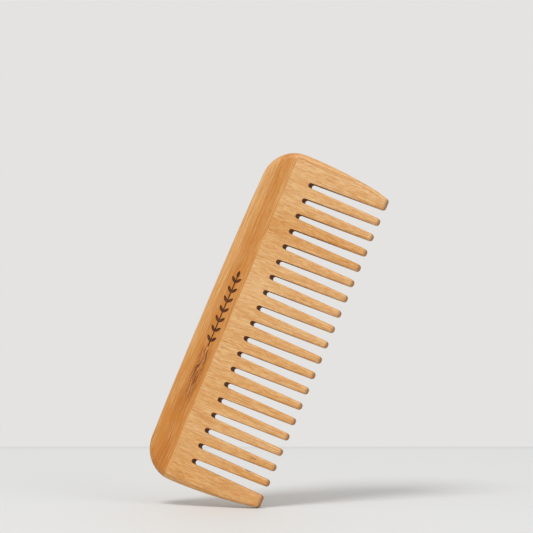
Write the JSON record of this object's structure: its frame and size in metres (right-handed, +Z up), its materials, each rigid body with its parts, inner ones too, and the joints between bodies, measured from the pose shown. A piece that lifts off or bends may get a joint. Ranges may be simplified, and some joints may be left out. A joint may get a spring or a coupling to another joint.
{
  "type": "wide tooth comb",
  "caption": "Flat bamboo hair comb with a rounded straight spine, wide tapered teeth, a broad guard tooth at each end, and an engraved leaf sprig on the spine.",
  "frame": {"origin": "middle of the comb's footprint, on the surface it lies on, back face down", "axes": "+X along the spine, +Y from the tooth tips to the spine edge, +Z up out of the engraved face"},
  "size_m": [0.15, 0.0556, 0.008],
  "materials": {
    "outer_strip_bamboo": "satin, clear oiled, grain along the spine",
    "inner_strip_bamboo": "satin, clear oiled, grain along the spine, sprig burned dark brown",
    "stave_bamboo": "satin, clear oiled, grain along the teeth"
  },
  "bodies": {
    "root": {"spine_outer_strip": "outer_strip_bamboo", "spine_inner_strip": "inner_strip_bamboo", "stave_01": "stave_bamboo", "stave_02": "stave_bamboo", "stave_03": "stave_bamboo", "stave_04": "stave_bamboo", "stave_05": "stave_bamboo", "stave_06": "stave_bamboo", "stave_07": "stave_bamboo", "stave_08": "stave_bamboo", "stave_09": "stave_bamboo", "stave_10": "stave_bamboo", "stave_11": "stave_bamboo", "stave_12": "stave_bamboo", "stave_13": "stave_bamboo", "stave_14": "stave_bamboo", "stave_15": "stave_bamboo", "stave_16": "stave_bamboo", "stave_17": "stave_bamboo", "stave_18": "stave_bamboo", "stave_19": "stave_bamboo", "stave_20": "stave_bamboo", "stave_21": "stave_bamboo", "stave_22": "stave_bamboo", "stave_23": "stave_bamboo"}
  },
  "joints": []
}
